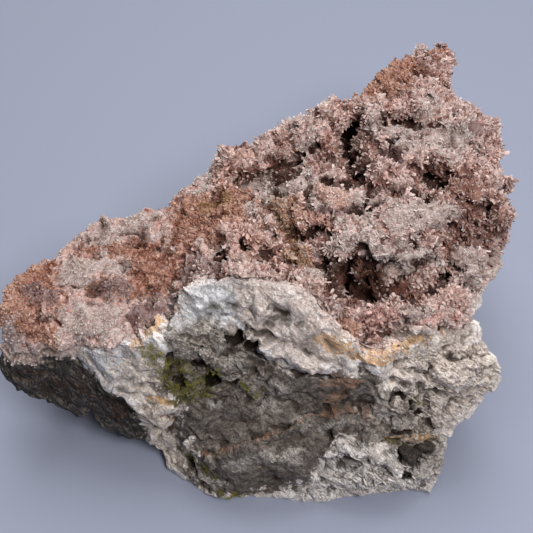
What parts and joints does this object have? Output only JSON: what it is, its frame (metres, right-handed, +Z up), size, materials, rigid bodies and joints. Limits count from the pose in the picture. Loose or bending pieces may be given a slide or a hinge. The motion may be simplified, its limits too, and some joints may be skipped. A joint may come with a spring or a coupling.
{
  "type": "calcite specimen",
  "caption": "Wedge of grey-white calcite rock with a long wing and a horn, its top overgrown by a crust of pink bladed crystals and druse; rests flat on its base.",
  "frame": {"origin": "middle of the bounding box in X and Y, at the height of the flat resting face", "axes": "+Z up, +X from the thin wing to the tall right side, +Y from the broken front face to the horn"},
  "size_m": [0.1842, 0.1762, 0.0942],
  "materials": {
    "calcite_rock": "broken fibrous calcite rock, chalky white to grey, dull",
    "pink_calcite": "grown-together pink calcite crystals, sugary, waxy sparkle",
    "calcite_blades": "thin pink calcite blades, waxy to glassy",
    "druse_grains": "small orange-brown calcite grains, slightly glassy",
    "dry_moss": "dry olive moss and algae, matt"
  },
  "bodies": {
    "root": {"matrix": "calcite_rock", "crystal_crust": "pink_calcite"}
  },
  "joints": []
}
